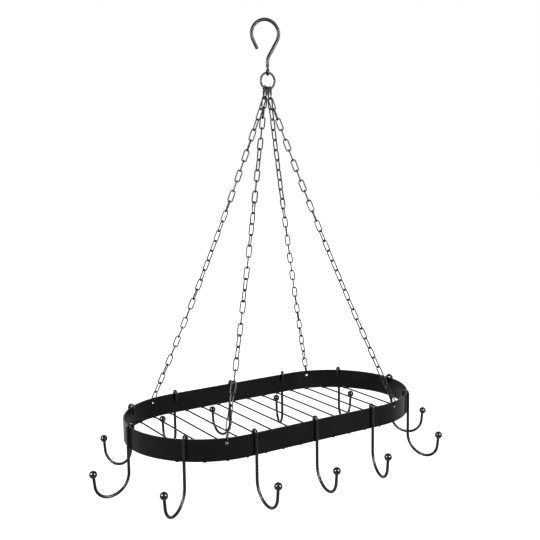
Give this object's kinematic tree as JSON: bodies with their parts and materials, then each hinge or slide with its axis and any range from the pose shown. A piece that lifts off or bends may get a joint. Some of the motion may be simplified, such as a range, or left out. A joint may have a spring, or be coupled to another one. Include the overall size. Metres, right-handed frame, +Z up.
{
  "type": "hanging pot rack",
  "caption": "Oval hanging pot rack: flat-bar rim with a rod grid, four link chains to a ring and a ceiling hook, and ball-ended pot hooks that slide on the rim.",
  "frame": {"origin": "inside of the ceiling hook's bowl, where it hangs, straight above the middle of the rack", "axes": "+Z up, +X along the long side of the rack, +Y across it to the back"},
  "size_m": [0.9277, 0.5779, 1.0635],
  "materials": {
    "rim_paint": "satin black paint on flat bar",
    "rod_paint": "satin black paint on round rod",
    "wire_paint": "semi-gloss black paint on bent wire",
    "ball_paint": "gloss black paint on a steel ball",
    "chain_steel": "semi-gloss blackened steel"
  },
  "bodies": {
    "ceiling_hook": {"ceiling_hook": "wire_paint"},
    "ring": {"top_ring": "wire_paint"},
    "rack": {"rim_band": "rim_paint", "chain_front_left": "chain_steel", "chain_back_left": "chain_steel", "chain_front_right": "chain_steel", "chain_back_right": "chain_steel", "grid_rod_01": "rod_paint", "grid_rod_02": "rod_paint", "grid_rod_03": "rod_paint", "grid_rod_04": "rod_paint", "grid_rod_05": "rod_paint", "grid_rod_06": "rod_paint", "grid_rod_07": "rod_paint", "grid_rod_08": "rod_paint", "grid_rod_09": "rod_paint", "grid_rod_10": "rod_paint", "grid_rod_11": "rod_paint", "grid_rod_12": "rod_paint", "grid_rod_13": "rod_paint", "grid_rod_14": "rod_paint", "grid_rod_15": "rod_paint"},
    "pot_hook_01": {"pot_hook_01": "wire_paint", "hook_ball_01": "ball_paint"},
    "pot_hook_02": {"pot_hook_02": "wire_paint", "hook_ball_02": "ball_paint"},
    "pot_hook_03": {"pot_hook_03": "wire_paint", "hook_ball_03": "ball_paint"},
    "pot_hook_04": {"pot_hook_04": "wire_paint", "hook_ball_04": "ball_paint"},
    "pot_hook_05": {"pot_hook_05": "wire_paint", "hook_ball_05": "ball_paint"},
    "pot_hook_06": {"pot_hook_06": "wire_paint", "hook_ball_06": "ball_paint"},
    "pot_hook_07": {"pot_hook_07": "wire_paint", "hook_ball_07": "ball_paint"},
    "pot_hook_08": {"pot_hook_08": "wire_paint", "hook_ball_08": "ball_paint"},
    "pot_hook_09": {"pot_hook_09": "wire_paint", "hook_ball_09": "ball_paint"},
    "pot_hook_10": {"pot_hook_10": "wire_paint", "hook_ball_10": "ball_paint"},
    "pot_hook_11": {"pot_hook_11": "wire_paint", "hook_ball_11": "ball_paint"},
    "pot_hook_12": {"pot_hook_12": "wire_paint", "hook_ball_12": "ball_paint"}
  },
  "joints": [
    {"name": "ring_swing", "type": "hinge", "parent": "ceiling_hook", "child": "ring", "pos_m": [0, 0, -0.1213], "axis": [0, 1, 0], "range_deg": [-15, 15]},
    {"name": "rack_swing", "type": "hinge", "parent": "ring", "child": "rack", "pos_m": [0, 0, -0.154], "axis": [1, 0, 0], "range_deg": [-15, 15]},
    {"name": "pot_hook_01_slide", "type": "slide", "parent": "rack", "child": "pot_hook_01", "axis": [1, 0, 0], "range_m": [-0.045, 0.045]},
    {"name": "pot_hook_02_slide", "type": "slide", "parent": "rack", "child": "pot_hook_02", "axis": [1, 0, 0], "range_m": [-0.045, 0.025]},
    {"name": "pot_hook_03_slide", "type": "hinge", "parent": "rack", "child": "pot_hook_03", "pos_m": [0.1825, 0, -0.90158], "axis": [0, 0, 1], "range_deg": [-13, 13]},
    {"name": "pot_hook_04_slide", "type": "hinge", "parent": "rack", "child": "pot_hook_04", "pos_m": [0.1825, 0, -0.90158], "axis": [0, 0, 1], "range_deg": [-13, 13]},
    {"name": "pot_hook_05_slide", "type": "hinge", "parent": "rack", "child": "pot_hook_05", "pos_m": [0.1825, 0, -0.90158], "axis": [0, 0, 1], "range_deg": [-13, 13]},
    {"name": "pot_hook_06_slide", "type": "slide", "parent": "rack", "child": "pot_hook_06", "axis": [1, 0, 0], "range_m": [-0.045, 0.02]},
    {"name": "pot_hook_07_slide", "type": "slide", "parent": "rack", "child": "pot_hook_07", "axis": [1, 0, 0], "range_m": [-0.045, 0.045]},
    {"name": "pot_hook_08_slide", "type": "slide", "parent": "rack", "child": "pot_hook_08", "axis": [1, 0, 0], "range_m": [-0.012, 0.045]},
    {"name": "pot_hook_09_slide", "type": "hinge", "parent": "rack", "child": "pot_hook_09", "pos_m": [-0.1825, 0, -0.90158], "axis": [0, 0, 1], "range_deg": [-13, 13]},
    {"name": "pot_hook_10_slide", "type": "hinge", "parent": "rack", "child": "pot_hook_10", "pos_m": [-0.1825, 0, -0.90158], "axis": [0, 0, 1], "range_deg": [-13, 13]},
    {"name": "pot_hook_11_slide", "type": "hinge", "parent": "rack", "child": "pot_hook_11", "pos_m": [-0.1825, 0, -0.90158], "axis": [0, 0, 1], "range_deg": [-13, 13]},
    {"name": "pot_hook_12_slide", "type": "slide", "parent": "rack", "child": "pot_hook_12", "axis": [1, 0, 0], "range_m": [-0.014, 0.045]}
  ]
}
